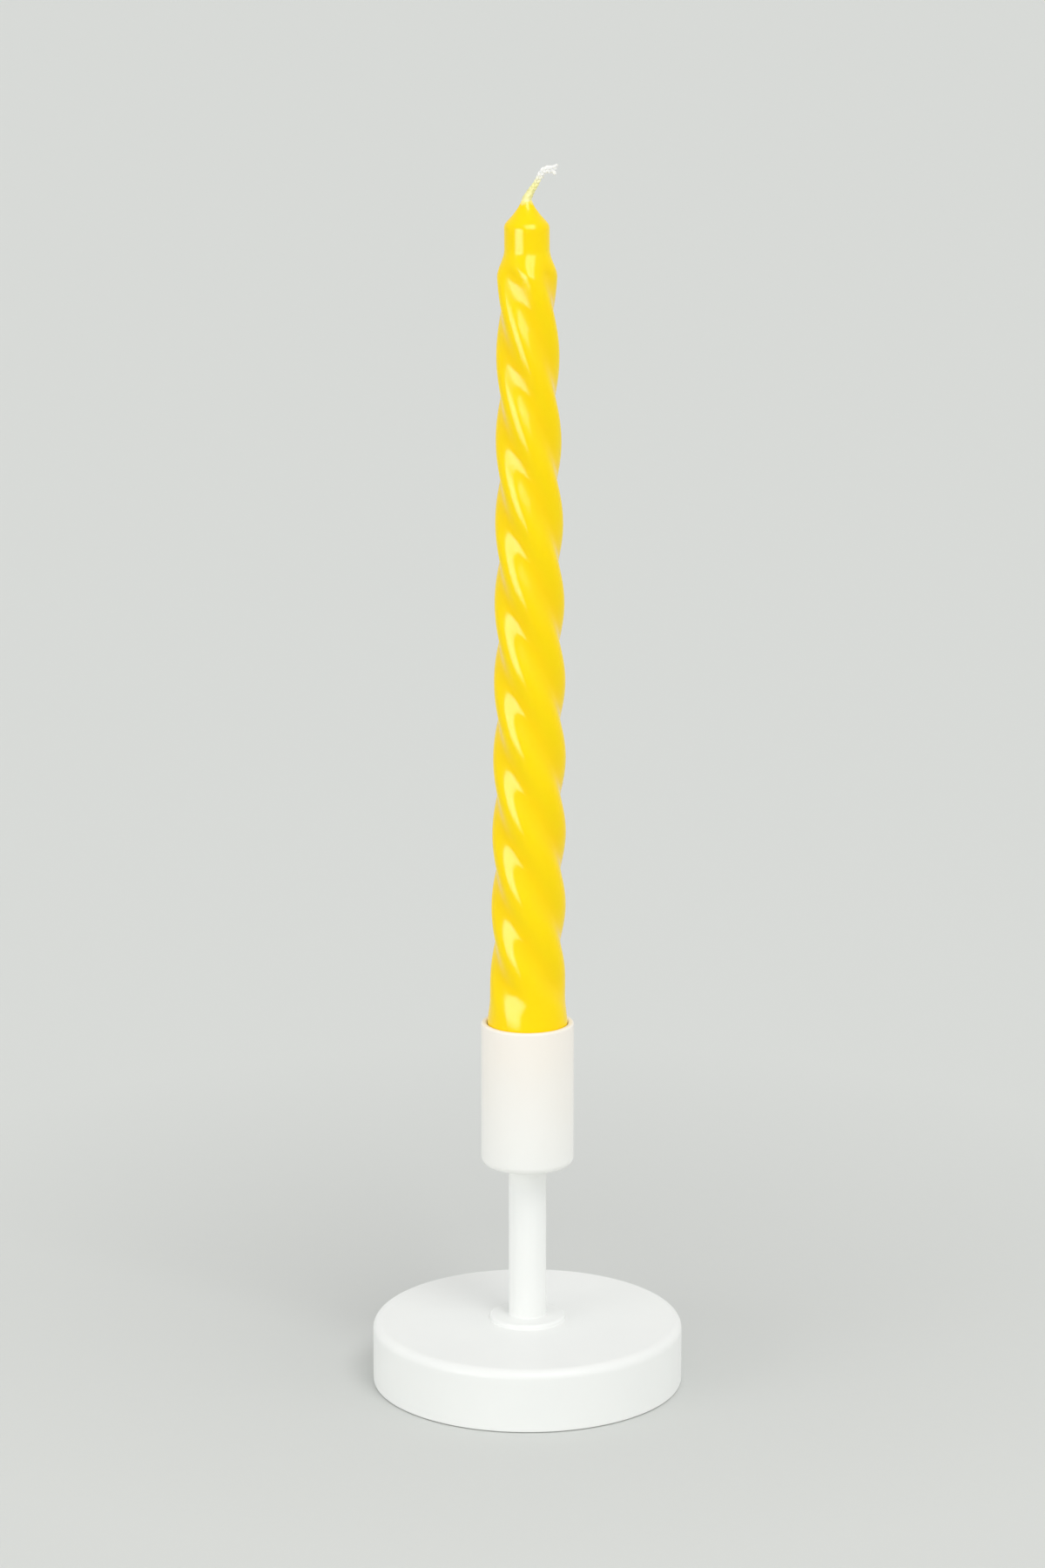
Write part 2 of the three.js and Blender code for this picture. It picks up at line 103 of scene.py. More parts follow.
def skin(name, *surfaces, looped=False, crease=38):
    """One object over surfaces, each a table of [ring, point, x y z] in mm.

    Rings run anticlockwise seen from the next one. Where looped is true the last ring joins the
    first, as in a turned ring; otherwise a fan closes each end. Edges sharper than crease, in
    degrees, stay sharp. The UV map has the share round each ring and the length along in mm.
    """
    points, faces, maps = [], [], []
    start = 0
    for rings in surfaces:
        count, around = rings.shape[:2]
        middles = rings.mean(axis=1)
        along = np.concatenate([[0], np.cumsum(np.linalg.norm(np.diff(middles, axis=0), axis=1))])
        quads = ring_faces(count, around, looped)
        share = np.tile(np.arange(around), count if looped else count - 1) / around
        near = np.repeat(along[: len(quads) // around], around)
        far = np.repeat(np.roll(along, -1)[: len(quads) // around], around)
        step = 1 / around
        corners = [share, near, share + step, near, share + step, far, share, far]
        maps.append(np.stack(corners, axis=-1).reshape(-1, 2))
        faces += (quads + start).tolist()
        points.append(rings.reshape(-1, 3))
        if not looped:
            first = np.arange(around) + start
            last = first + (count - 1) * around
            poles = start + count * around
            ends = ((first, poles, False, 0), (last, poles + 1, True, along[-1]))
            for ring, pole, upward, height in ends:
                faces += end_faces(ring, pole, upward).tolist()
                maps.append(np.tile([0.5, height], (3 * around, 1)))
            points.append(middles[[0, -1]])
        start += sum(len(part) for part in points[-1 if looped else -2 :])
    mesh = bpy.data.meshes.new(name)
    mesh.from_pydata((np.concatenate(points) * MM).tolist(), [], faces)
    mesh.uv_layers.new(name="along").data.foreach_set("uv", np.concatenate(maps).ravel())
    mesh.shade_smooth()
    mesh.set_sharp_from_angle(angle=math.radians(crease))
    return put(name, mesh)


def mark(obj, name, values):
    """Stores a number for each point of a piece, for its material to read."""
    layer = obj.data.attributes.new(name, "FLOAT", "POINT")
    layer.data.foreach_set("value", np.asarray(values, dtype=np.float32))


# %% Turn a profile
def arc(radius, height, bend, start, end, steps=10):
    """Points of an arc in a profile, round (radius, height), from start to end in quarter turns."""
    angles = np.linspace(start, end, steps) * TURN / 4
    return np.stack([radius + bend * np.cos(angles), height + bend * np.sin(angles)], axis=-1)


def turned(name, *pieces, around=192, looped=True, edge=None):
    """A profile of [radius, height] points, running anticlockwise, turned round the Z axis.

    edge(angle) may scale the radius, for a piece that isn't quite round.
    """
    profile = np.concatenate([np.atleast_2d(np.asarray(piece, dtype=float)) for piece in pieces])
    angles = np.arange(around) * TURN / around
    swell = np.ones(around) if edge is None else edge(angles)
    heights = np.tile(profile[:, 1:], (1, around))
    return skin(name, round_axis(profile[:, :1] * swell, angles, heights), looped=looped)


def solid(node):
    """Radius of a CAD node in mm, with its lowest and its highest point."""
    low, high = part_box(node)
    return (high.x - low.x) / 2 / MM, low.z / MM, high.z / MM


# %% [markdown]
# ## Finishes as formulas
#
# A shader is a formula over the surface: colour here, gloss there. Wiring it by hand takes many
# lines, so a socket is wrapped in a class whose operators add the Math nodes. One method adds
# every other node, and one function puts the finished material on a piece.

# %% Shader arithmetic
class Wire:
    """The output of a node. Arithmetic on it adds Math nodes, so a mask reads like a formula."""

    def __init__(self, finish, socket):
        self.finish = finish
        self.socket = socket

    def math(self, operation, *values):
        return self.finish.add("Math", {"operation": operation}, dict(enumerate(values)))

    def __add__(self, other):
        return self.math("ADD", self, other)

    def __sub__(self, other):
        return self.math("SUBTRACT", self, other)

    def __rsub__(self, other):
        return self.math("SUBTRACT", other, self)

    def __mul__(self, other):
        return self.math("MULTIPLY", self, other)

    __radd__ = __add__
    __rmul__ = __mul__

    def part(self, number):
        """One of the three numbers of a vector: 0, 1 or 2 for x, y or z."""
        return self.finish.add("SeparateXYZ", {}, {"Vector": self}, output=number)

    def between(self, low, high):
        """0 below low and 1 above high, with a straight ramp from one to the other."""
        settings = {"data_type": "FLOAT", "clamp": True}
        return self.finish.add("MapRange", settings, {"Value": self, "From Min": low, "From Max": high})


class Finish:
    """A node tree. add() makes any node, with its settings set before its sockets."""

    def __init__(self, name, owner=None):
        self.owner = owner or bpy.data.materials.new(name)
        self.owner.use_nodes = True
        self.tree = self.owner.node_tree
        self.tree.nodes.clear()

    def add(self, kind, settings=None, sockets=None, output=0):
        node = self.tree.nodes.new("ShaderNode" + kind)
        for key, value in (settings or {}).items():
            setattr(node, key, value)
        for key, value in (sockets or {}).items():
            if isinstance(value, Wire):
                self.tree.links.new(value.socket, node.inputs[key])
            else:
                node.inputs[key].default_value = value
        return Wire(self, node.outputs[output]) if node.outputs else None

    def blend(self, share, first, second):
        """A colour that goes from first to second as share goes from 0 to 1."""
        settings = {"data_type": "RGBA"}
        return self.add("Mix", settings, {0: share, 6: first, 7: second}, output=2)

    def speckle(self, place, size, detail=2.0, rough=0.5):
        """Noise from 0 to 1 whose blobs are about size mm across, where place is in metres."""
        sockets = {"Vector": place, "Scale": 0.5 / (size * MM), "Detail": detail, "Roughness": rough}
        return self.add("TexNoise", {}, sockets)

    def relief(self, height, depth):
        """A bump of depth mm where height goes from 0 to 1."""
        return self.add("Bump", {}, {"Height": height, "Distance": depth * MM})

    def surface(self, **sockets):
        """The surface shader, with spaces in its socket names written as underscores."""
        named = {key.replace("_", " "): value for key, value in sockets.items()}
        shader = self.add("BsdfPrincipled", {}, named)
        self.add("OutputMaterial", {}, {"Surface": shader})
        return self.owner


def place_of(finish):
    """Where a point is on its piece, in metres."""
    return finish.add("TexCoord", output="Object")


def dress(obj, body, slot, material, *nodes):
    """Gives a piece its material and moving body and hides the CAD nodes it stands for. Slot is unused."""
    obj.data.materials.append(material)
    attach(obj, body)
    if nodes:
        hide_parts(*nodes)
    print(obj.name, "has", len(obj.data.polygons), "faces")


# %% [markdown]
# ## White paint
#
# The holder has one sprayed coat of satin white over metal. Up close, sprayed paint is never
# flat: it dries with a faint ripple like the peel of an orange, and its gloss drifts a little.
# The ripple is noise a millimetre or so across, far too shallow to read as a shape, and the
# drift is noise ten times as wide. The white itself stays under 0.9, because nothing painted is
# whiter than that. Towards the rim the white is warmed by painted light: the glow that the
# yellow wax bounces onto the cup.

# %% Mix the white paint
PAINT_WHITE = (0.86, 0.873, 0.85, 1)
PAINT_THIN = (0.84, 0.853, 0.833, 1)
RIM_WAX_BOUNCE = (0.905, 0.855, 0.775, 1)  # painted light: warm glow bounced off the yellow wax
BOUNCE_FROM = 0.056  # heights over which that painted glow comes in, in metres
BOUNCE_TO = 0.106


def white_paint():
    paint = Finish("white_paint")
    place = place_of(paint)
    cloud = paint.speckle(place, 14, detail=3).between(0.35, 0.65)
    ripple = paint.speckle(place, 1.3, detail=1)
    grain = paint.speckle(place, 0.12, detail=1)
    # Warmer higher up the cup: painted light, the glow bounced off the yellow wax.
    wax_bounce = place.part(2).between(BOUNCE_FROM, BOUNCE_TO) * (0.8 + 0.3 * cloud)
    return paint.surface(
        Base_Color=paint.blend(wax_bounce, paint.blend(cloud, PAINT_WHITE, PAINT_THIN), RIM_WAX_BOUNCE),
        Roughness=0.2 + 0.05 * cloud + 0.03 * grain,
        Specular_IOR_Level=0.06,
        Sheen_Weight=0.25,
        Sheen_Roughness=0.4,
        Normal=paint.relief(ripple + 0.12 * grain, 0.008),
    )


painted = white_paint()

# %% [markdown]
# ## The base, the flange, the stem and the collar
#
# These are lathe work, so each is a profile turned round the axis. The profiles take their
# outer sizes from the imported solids. Paint never leaves a knife edge, so every corner gets a
# small round, and where two pieces meet the paint pools into a fillet that hides the joint.

# %% Turn the base
BASE_TOP_ROUND = 2.5
BASE_BOTTOM_ROUND = 0.3
PAD_RECESS_GAP = 0.3
BASE_WEB = 8  # metal left between the washer and the top of the base
SCREW_HOLE = 2.8
HEAD_HOLE = 5.5
EDGE = 0.25  # round of an edge that a cutter leaves

base_radius, base_bottom, base_top = solid("base_disc")
pad_radius, pad_bottom, pad_top = solid("base_pad")


def level(inner, outer, height, steps=24):
    """Points of a flat face of a profile, from one radius to another."""
    return np.stack([np.linspace(inner, outer, steps), np.full(steps, height)], axis=-1)


def wall(radius, low, high, steps):
    """Points of a straight wall of a profile, from one height to another."""
    return np.stack([np.full(steps, radius), np.linspace(low, high, steps)], axis=-1)


def base_disc():
    recess = pad_radius + PAD_RECESS_GAP
    seat = base_top - BASE_WEB
    return turned(
        "painted_base",
        [[SCREW_HOLE, seat], [HEAD_HOLE, seat], [HEAD_HOLE, pad_top + EDGE]],
        level(HEAD_HOLE + EDGE, recess, pad_top, 12),
        [[recess, base_bottom + EDGE], [recess + EDGE, base_bottom]],
        arc(base_radius - BASE_BOTTOM_ROUND, base_bottom + BASE_BOTTOM_ROUND, BASE_BOTTOM_ROUND, -1, 0),
        wall(base_radius, base_bottom + 1, base_top - 3, 12),
        arc(base_radius - BASE_TOP_ROUND, base_top - BASE_TOP_ROUND, BASE_TOP_ROUND, 0, 1, 18),
        level(base_radius - BASE_TOP_ROUND - 0.5, SCREW_HOLE, base_top),
        around=256,
    )


dress(base_disc(), "holder", "white_paint", painted, "base_disc")

# %% Turn the flange, the stem and the collar
FLANGE_ROUND = 0.75
PAINT_FILLET = 0.35  # paint pooled in the corner between two pieces
HEAD_FILLET = 0.4  # and round the head of the stem, under the cup
HEAD_FILLET_HEIGHT = 3.6
TAPPED_DEPTH = 13

flange_radius, flange_bottom, flange_top = solid("foot_flange")
stem_radius, stem_bottom, stem_top = solid("stem")
collar_radius, collar_bottom, collar_top = solid("neck_collar")


def foot_flange():
    return turned(
        "painted_flange",
        [[SCREW_HOLE, flange_bottom]],
        arc(flange_radius + PAINT_FILLET, flange_bottom + PAINT_FILLET, PAINT_FILLET, -1, -2, 6),
        arc(flange_radius - FLANGE_ROUND, flange_top - FLANGE_ROUND, FLANGE_ROUND, 0, 1),
        level(flange_radius - FLANGE_ROUND - 0.4, SCREW_HOLE, flange_top, 8),
    )


def stem():
    low_hole = stem_bottom + TAPPED_DEPTH
    high_hole = stem_top - TAPPED_DEPTH
    share = np.linspace(0, 1, 12)
    flare = stem_radius + HEAD_FILLET * share**2
    heights = stem_top - HEAD_FILLET_HEIGHT * (1 - share)
    return turned(
        "painted_stem",
        [[0.01, low_hole], [SCREW_HOLE, low_hole], [SCREW_HOLE, stem_bottom]],
        arc(stem_radius + PAINT_FILLET, stem_bottom + PAINT_FILLET, PAINT_FILLET, -1, -2, 6),
        wall(stem_radius, stem_bottom + 1.2, stem_top - 4, 30),
        np.stack([flare, heights], axis=-1),
        [[SCREW_HOLE, stem_top], [SCREW_HOLE, high_hole], [0.01, high_hole]],
        around=128,
        looped=False,
    )


def neck_collar():
    flare = collar_radius - stem_radius
    return turned(
        "painted_collar",
        [[SCREW_HOLE, collar_bottom]],
        arc(stem_radius + flare, collar_bottom, flare, -2, -3, 8),
        [[collar_radius, collar_top], [SCREW_HOLE, collar_top]],
        around=128,
    )


for make, node in ((foot_flange, "foot_flange"), (stem, "stem"), (neck_collar, "neck_collar")):
    dress(make(), "holder", "white_paint", painted, node)

# %% [markdown]
# ## The cup
#
# The cup is a sleeve with a thick floor. Its rim is the edge that the eye goes to, because the
# yellow wax rises out of it and the thin wall shows there, so it gets a full round of fine
# steps. Inside, the floor is sunk for the head of the screw that holds the cup.

# %% Turn the cup
CUP_WALL = 1.45
CUP_ROUND = 2.0
LIP_ROUND = 0.6
PAINT_BUILD = 0.2  # paint that has built up inside the mouth

cup_radius, cup_bottom, rim = solid("cup")
_, wax_bottom, wax_top = solid("candle_coat")


def cup():
    bore = cup_radius - CUP_WALL - PAINT_BUILD
    seat = solid("cup_washer")[1]
    return turned(
        "painted_cup",
        [[SCREW_HOLE, cup_bottom]],
        level(stem_radius, cup_radius - CUP_ROUND - 0.4, cup_bottom, 6),
        arc(cup_radius - CUP_ROUND, cup_bottom + CUP_ROUND, CUP_ROUND, -1, 0, 14),
        wall(cup_radius, cup_bottom + 3, rim - 1.2, 20),
        arc(cup_radius - LIP_ROUND, rim - LIP_ROUND, LIP_ROUND, 0, 1),
        arc(bore + LIP_ROUND, rim - LIP_ROUND, LIP_ROUND, 1, 2),
        wall(bore, rim - 2, wax_bottom + EDGE, 12),
        [[bore - EDGE, wax_bottom], [HEAD_HOLE + EDGE, wax_bottom], [HEAD_HOLE, wax_bottom - EDGE]],
        [[HEAD_HOLE, seat], [SCREW_HOLE, seat]],
    )


dress(cup(), "holder", "white_paint", painted, "cup")

# %% [markdown]
# ## The felt pad
#
# Under the base a disc of grey felt keeps the metal off the table. Felt is matted fibre: no
# weave, a soft edge that was stamped out with a punch, and short hairs lying every way. The
# disc is turned with a slightly ragged radius, and the fibres are noise stretched along three
# directions, which also lifts the surface a little.

# %% Mix the felt and punch the pad
FELT_DARK = (0.17, 0.172, 0.168, 1)
FELT_PALE = (0.34, 0.342, 0.335, 1)
PAD_EDGE = 0.45  # round of the pad's edges
PAD_WANDER = 0.0011  # half the wander of its rim, as a share of its radius


def grey_felt():
    felt = Finish("grey_felt")
    place = place_of(felt)
    fibres = 0.0
    for turn in (0.2, 1.3, 2.4):
        sockets = {"Vector": place, "Rotation": (0, 0, turn), "Scale": (1, 0.12, 1)}
        laid = felt.add("Mapping", {}, sockets)
        fibres = fibres + felt.speckle(laid, 0.16, detail=2) * (1 / 3)
    tufts = felt.speckle(place, 2.5, detail=4, rough=0.65)
    shade = (0.65 * fibres + 0.35 * tufts).between(0.36, 0.62)
    return felt.surface(
        Base_Color=felt.blend(shade, FELT_DARK, FELT_PALE),
        Roughness=0.9 + 0.1 * tufts,
        Sheen_Weight=0.25,
        Sheen_Roughness=0.5,
        Normal=felt.relief(fibres + 0.5 * tufts, 0.12),
    )


def ragged(angles):
    """A punched edge: the radius wanders by up to a part in four hundred."""
    waves = np.sin(7 * angles + 0.4) + np.sin(19 * angles + 1.9) + np.sin(43 * angles + 3.1)
    return 1 - PAD_WANDER * (1 + waves / 3)


def base_pad():
    return turned(
        "felt_pad",
        level(0.01, pad_radius - PAD_EDGE - 0.4, pad_bottom, 40),
        arc(pad_radius - PAD_EDGE, pad_bottom + PAD_EDGE, PAD_EDGE, -1, 0, 6),
        arc(pad_radius - PAD_EDGE, pad_top - PAD_EDGE, PAD_EDGE, 0, 1, 6),
        level(pad_radius - PAD_EDGE - 0.4, 0.01, pad_top, 40),
        around=256,
        looped=False,
        edge=ragged,
    )


dress(base_pad(), "holder", "felt", grey_felt(), "base_pad")

# %% [markdown]
# ## Screws and washers
#
# Two socket-head screws pull the holder together, one up through the base and one down through
# the cup. They are hidden, but they are in the model, so they get their real detail: a thread,
# a hexagonal socket and chamfers. A thread is a radius that depends on height and angle
# together, which suits a table of rings. The steel is zinc plated: bright, with a faint
# straw-coloured cast and fine scratches.

# %% Plate the steel
ZINC = (0.60, 0.61, 0.62, 1)
ZINC_STRAW = (0.62, 0.58, 0.47, 1)


def zinc_steel():
    steel = Finish("zinc_steel")
    place = place_of(steel)
    cast = steel.speckle(place, 5, detail=4, rough=0.6).between(0.45, 0.75)
    drawn_out = steel.add("Mapping", {}, {"Vector": place, "Scale": (1, 1, 9)})
    scratches = steel.speckle(drawn_out, 0.4, detail=5)
    return steel.surface(
        Base_Color=steel.blend(cast, ZINC, ZINC_STRAW),
        Metallic=1.0,
        Roughness=0.24 + 0.2 * scratches,
        Normal=steel.relief(scratches, 0.01),
    )


plated = zinc_steel()

# %% Cut the screws
SCREW_RADIUS = 2.5
THREAD_PITCH = 0.8
THREAD_DEPTH = 0.42
SOCKET_CORNERS = 2.3  # radius over the corners of the hexagon
SOCKET_DEPTH = 1.75
SCREW_AROUND = 72
SCREW_CHAMFER = 0.35
HEAD_BEVEL = 0.15  # at the mouth of the hexagon and under the head
SHANK_FILLET = 0.1
KNURL = 0.012  # depth of the ridges round the head, as a share of its radius
KNURL_RIDGES = 36
THREAD_ROWS = 6  # rings of points for each turn of the thread
SHANK_END = 0.5  # length over which the shank ends in a point
SHANK_END_INSET = 0.6
BASE_PLAIN_SHANK = 10  # length without a thread, from the seat on
CUP_PLAIN_SHANK = 8


def hexagon(angles):
    """Radius of a hexagon with corners at 1: the cosine of 30° over that of the angle to a flat."""
    side = TURN / 6
    return math.cos(side / 2) / np.cos((angles % side) - side / 2)


def threaded(heights, start, end):
    """Radius of the thread: a sawtooth wave in height less share of a turn, and faded at its ends."""
    angles = np.arange(SCREW_AROUND) * TURN / SCREW_AROUND
    wave = np.abs(((heights[:, None] / THREAD_PITCH - angles / TURN) % 1) * 2 - 1)
    inside = np.clip(np.minimum(heights - start, end - heights) / THREAD_PITCH, 0, 1)
    return SCREW_RADIUS - THREAD_DEPTH * wave * inside[:, None]


def screw(name, head_radius, head_low, seat, tip, thread_start, flip):
    """A socket-head screw: the head from head_low to seat and the shank on to tip, or upside down."""
    angles = np.arange(SCREW_AROUND) * TURN / SCREW_AROUND
    six = SOCKET_CORNERS * hexagon(angles)
    knurl = 1 - KNURL * np.abs(np.sin(KNURL_RIDGES / 2 * angles))
    length = tip - seat
    shank = np.linspace(0, length - SHANK_END, int(length / THREAD_PITCH * THREAD_ROWS))
    floor = head_low + SOCKET_DEPTH
    rows = [
        (0.02 * six, floor + 0.5),
        (six, floor),
        (six, head_low + HEAD_BEVEL),
        (six * 1.06, head_low),
        (np.full(SCREW_AROUND, head_radius - SCREW_CHAMFER), head_low),
        (head_radius * knurl, head_low + SCREW_CHAMFER),
        (head_radius * knurl, seat - 2 * HEAD_BEVEL),
        (np.full(SCREW_AROUND, head_radius - HEAD_BEVEL), seat),
        (np.full(SCREW_AROUND, SCREW_RADIUS + SHANK_FILLET), seat),
        *zip(threaded(shank, thread_start, length), seat + shank),
        (np.full(SCREW_AROUND, SCREW_RADIUS - SHANK_END_INSET), tip),
    ]
    radii = np.stack([row[0] for row in rows])
    heights = np.array([row[1] for row in rows])[:, None] * np.ones(SCREW_AROUND)
    if flip:
        heights = 2 * seat - heights
        angles = -angles
    return skin(name, round_axis(radii, angles, heights), crease=30)


def hidden_screws():
    head, low, high = solid("base_screw")
    seat = solid("base_spring_washer")[1]
    base = screw("base_bolt", head, low, seat, high, BASE_PLAIN_SHANK, flip=False)
    head, low, high = solid("cup_screw")
    seat = solid("cup_washer")[2]
    top = 2 * seat - high
    cupped = screw("cup_bolt", head, top, seat, 2 * seat - low, CUP_PLAIN_SHANK, flip=True)
    return base, cupped


for obj, node in zip(hidden_screws(), ("base_screw", "cup_screw")):
    dress(obj, "holder", "screw_steel", plated, node)

# %% Stamp the washers
WASHER_EDGE = 0.12
SPRING_RISE = 0.25  # how far the two ends of the spring washer stand apart
SPRING_GAP = 0.12  # half the angle that is cut away, in radians


def flat_washer(node):
    radius, low, high = solid(node)
    return turned(
        "plain_" + node,
        [[SCREW_HOLE, low + WASHER_EDGE], [SCREW_HOLE + WASHER_EDGE, low], [radius - WASHER_EDGE, low]],
        [[radius, low + WASHER_EDGE], [radius, high - WASHER_EDGE], [radius - WASHER_EDGE, high]],
        [[SCREW_HOLE + WASHER_EDGE, high], [SCREW_HOLE, high - WASHER_EDGE]],
        around=96,
    )


def spring_washer():
    """A square bar bent round the screw: its section goes round by an angle and rises with it."""
    radius, low, high = solid("base_spring_washer")
    bar = high - low - SPRING_RISE
    nick = 0.15
    width = radius - SCREW_HOLE
    section = np.array([
        [nick, 0], [width - nick, 0], [width, nick], [width, bar - nick],
        [width - nick, bar], [nick, bar], [0, bar - nick], [0, nick],
    ])
    angles = np.linspace(SPRING_GAP, TURN - SPRING_GAP, 120)[:, None]
    reach = SCREW_HOLE + section[:, 0][None, ::-1]
    heights = low + SPRING_RISE * angles / TURN + section[:, 1][None, ::-1]
    return skin("split_washer", round_axis(reach, angles, heights))


for node in ("base_washer", "cup_washer"):
    dress(flat_washer(node), "holder", "screw_steel", plated, node)
dress(spring_washer(), "holder", "screw_steel", plated, "base_spring_washer")

# %% [markdown]
# ## The shape of the wax
#
# The candle is the hard part. It could be four curves skinned and screwed round, but its strands
# grow out of a plain butt, thin towards the top and die into a plain neck, and its turns get
# longer on the way up. A formula handles all of that: the radius of the section is a function
# of height and of the angle to the nearest crown. Each strand is a circle set off from the
# axis. Two bare circles would meet in a sharp groove, but wax flows when it is dipped and fills
# it, so the two are blended over a few millimetres. That makes the hooked highlights.

# %% Sizes of the candle, up from its butt
WAX_LENGTH = wax_top - wax_bottom
BUTT_LENGTH = 24.5
BUTT_RADIUS = 11.0
STRANDS = 4
FOOT_DIAMETER = 20.7  # over the crowns at the foot of the twist
HEAD_DIAMETER = 15.9  # and at its head
SWELL = 0.41  # how far the taper bows out half way up
FOOT_LEAD = 79.3  # height of one turn at the foot
HEAD_LEAD = 93.1  # and at the head
TWIST_START = math.radians(62)
FOOT_OFFSET = 0.462  # a strand's centre, as a share of the radius over the crowns
HEAD_OFFSET = 0.562
FOOT_FILL = math.radians(33)  # angle from a groove over which wax has filled it
HEAD_FILL = math.radians(35)
RUN_IN = 15.3  # height over which the strands grow out of the butt
GROOVE_RUN_IN = 14.0  # and their grooves reach full depth
RUN_OUT = 7.6  # height over which they die into the neck
NECK_RADIUS = 6.05
NECK_LENGTH = 5.5
SHOULDER_HEIGHT = 1.8
CONE_HEIGHT = 5.5
CONE_HOLLOW = 1.4
TIP_RADIUS = 1.4
COAT_WALL = 1.1

shoulder_top = WAX_LENGTH - CONE_HEIGHT
neck_end = shoulder_top - SHOULDER_HEIGHT
twist_end = neck_end - NECK_LENGTH
twist_length = twist_end - BUTT_LENGTH
# The shoulder is a parabola that leaves the cone at the cone's own slope.
cone_foot = TIP_RADIUS + (NECK_RADIUS - TIP_RADIUS) / (1 + CONE_HOLLOW / CONE_HEIGHT * SHOULDER_HEIGHT / 2)
print("the twist runs from", BUTT_LENGTH, "to", round(twist_end, 2), "mm above the butt")


# %% Radius and turn of the section
def ease(value, low, high):
    """0 below low and 1 above high, and between them 3t² − 2t³ of the share t."""
    share = np.clip((value - low) / (high - low), 0, 1)
    return share * share * (3 - 2 * share)


def climb(height):
    """Share of the way up the twist."""
    return np.clip((height - BUTT_LENGTH) / twist_length, 0, 1)


def crown_radius(height):
    """Radius over the crowns: butt, tapering strands, neck, rounded shoulder and hollow cone."""
    up = climb(height)
    strands = (FOOT_DIAMETER + (HEAD_DIAMETER - FOOT_DIAMETER) * up) / 2 + SWELL * np.sin(math.pi * up)
    radius = BUTT_RADIUS + (strands - BUTT_RADIUS) * ease(height, BUTT_LENGTH, BUTT_LENGTH + RUN_IN)
    radius = radius + (NECK_RADIUS - radius) * ease(height, twist_end - RUN_OUT, twist_end)
    rise = np.clip((height - neck_end) / SHOULDER_HEIGHT, 0, 1)
    shoulder = NECK_RADIUS - (NECK_RADIUS - cone_foot) * rise**2
    left = np.clip((WAX_LENGTH - height) / CONE_HEIGHT, 0, 1)
    cone = TIP_RADIUS + (cone_foot - TIP_RADIUS) * left**CONE_HOLLOW
    return np.where(height > shoulder_top, cone, np.where(height > neck_end, shoulder, radius))


def twist(height):
    """Turn of the section. The lead grows evenly with height, so the turn is its logarithm."""
    growth = (HEAD_LEAD - FOOT_LEAD) / twist_length
    return TWIST_START - TURN * np.log(1 + growth * climb(height) * twist_length / FOOT_LEAD) / growth


def relief(height):
    """Depth of the grooves as a share of full depth."""
    growing = ease(height, BUTT_LENGTH, BUTT_LENGTH + GROOVE_RUN_IN)
    return growing * (1 - ease(height, twist_end - RUN_OUT, twist_end))


def strand_reach(angle, crown, offset):
    """Distance from the axis to a circle of radius crown − offset, set off by offset."""
    aside = offset * np.sin(angle)
    return offset * np.cos(angle) + np.sqrt(np.maximum(0, (crown - offset) ** 2 - aside**2))


def groove_fill(from_groove, crown, offset, reach):
    """Wax that has flowed into a groove: a (1 − x / reach)³, x being the angle from the groove.

    The depth a makes the section level there: it is reach / 3 of the slope that two bare
    strands would meet with, o sin g + o² sin g cos g / √((crown − o)² − (o sin g)²), where o is
    the offset and g half the angle between two strands.
    """
    half = math.pi / STRANDS
    root = np.sqrt((crown - offset) ** 2 - (offset * math.sin(half)) ** 2)
    slope = offset * math.sin(half) * (1 + offset * math.cos(half) / root)
    return slope * reach / 3 * (1 - np.minimum(from_groove / reach, 1)) ** 3


def section_radius(height, angle):
    """Radius of the wax at an angle from a crown: a strand, and what has filled the groove."""
    spacing = TURN / STRANDS
    near = np.abs(angle - spacing * np.round(angle / spacing))
    crown = crown_radius(height)
    offset = crown * relief(height) * (FOOT_OFFSET + (HEAD_OFFSET - FOOT_OFFSET) * climb(height))
    reach = FOOT_FILL + (HEAD_FILL - FOOT_FILL) * climb(height)
    return strand_reach(near, crown, offset) + groove_fill(spacing / 2 - near, crown, offset, reach)


# %% [markdown]
# ## The coat
#
# The coat is a shell: up the outside, over the tip, and down again a wall's thickness inside.
# One table of rings can do both, because the last ring joins the first at the butt. A hand
# dipped candle is never dead straight or quite even either, so the axis bows by half a
# millimetre and slow ripples a few hundredths deep run over the surface.

# %% Dip the coat
COAT_AROUND = 144
EVEN_TO = 20  # height up to which the butt is straight and even
BOW = 0.55  # how far the candle has sagged out of true half way up
BOW_FULL = 45  # height from which it can sag freely
BOW_FROM = 27  # heights between which the first half of the wave lies
BOW_TO = 215
RIPPLE = 0.03
RIPPLE_FULL = 60  # height from which the ripples have their full depth
BUTT_ROUND = 0.35
TIP_INSETS = (0.12, 0.5)  # of the round edge of the tip, and of its flat top
WICK_HOLE = 0.9  # least radius inside the coat
ROW = 0.85  # height of one row of faces on the twist
FINE_ROW = 0.4  # and where the twist runs out
INNER_ROW = 2.4  # and inside


def bow(height):
    """Sideways lean of the axis: a slow wave of a sine above the cup."""
    free = ease(height, EVEN_TO, BOW_FULL)
    return BOW * free * np.sin(math.pi * (height - BOW_FROM) / (BOW_TO - BOW_FROM))


def ripples(height, angle):
    """Unevenness of the dipped wax: three slow waves across each other."""
    waves = np.sin(height / 6.1 + 2 * angle) + np.sin(height / 9.7 - 3 * angle + 1)
    waves = waves + np.sin(height / 3.9 + angle + 2)
    return RIPPLE * waves / 3 * ease(height, EVEN_TO, RIPPLE_FULL)


